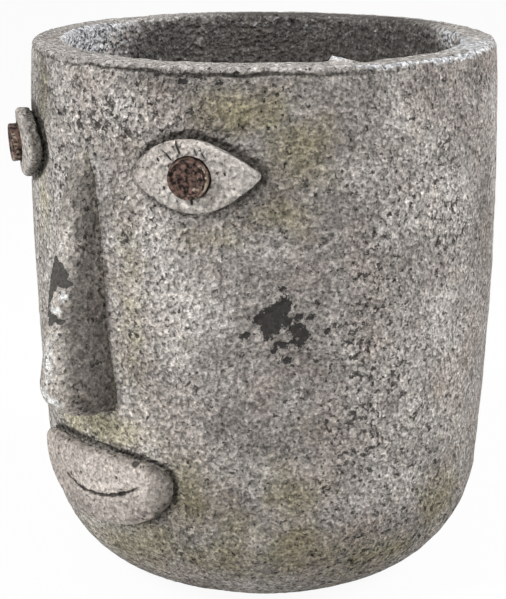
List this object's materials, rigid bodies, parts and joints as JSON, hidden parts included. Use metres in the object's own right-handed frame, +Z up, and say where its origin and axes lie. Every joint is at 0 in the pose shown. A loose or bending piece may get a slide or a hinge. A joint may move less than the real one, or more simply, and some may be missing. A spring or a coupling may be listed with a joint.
{
  "type": "planter pot",
  "caption": "Round cast cement planter pot with a stylised face in relief on its wall, a flat rim, and a drain hole with a rubber plug.",
  "frame": {"origin": "under the middle of the whole part, at the level of the undersides of the foot pads; the pot's axis stands 10 mm behind it, at Y = 0.010", "axes": "+Z up along the pot's axis, and the face looks towards -Y"},
  "size_m": [0.2, 0.22, 0.2325],
  "materials": {
    "cement": "weathered, porous",
    "pale_cement": "weathered, worn pale",
    "mortar": "raked, dirty",
    "rusted_steel": "rusted",
    "plug_rubber": "matte",
    "pad_rubber": "matte"
  },
  "bodies": {
    "pot": {"pot_shell": "cement", "eye_plate_left": "pale_cement", "eye_plate_right": "pale_cement", "lips": "pale_cement", "nose": "cement", "eye_bed_left": "mortar", "eye_bed_right": "mortar", "nose_bed": "mortar", "lips_bed": "mortar", "iris_cap_left": "rusted_steel", "iris_cap_right": "rusted_steel", "foot_pad_1": "pad_rubber", "foot_pad_2": "pad_rubber", "foot_pad_3": "pad_rubber", "foot_pad_4": "pad_rubber"},
    "plug": {"drain_plug": "plug_rubber"}
  },
  "joints": [
    {"name": "plug_lift", "type": "slide", "parent": "pot", "child": "plug", "axis": [0, 0, 1], "range_m": [0, 0.235]}
  ]
}
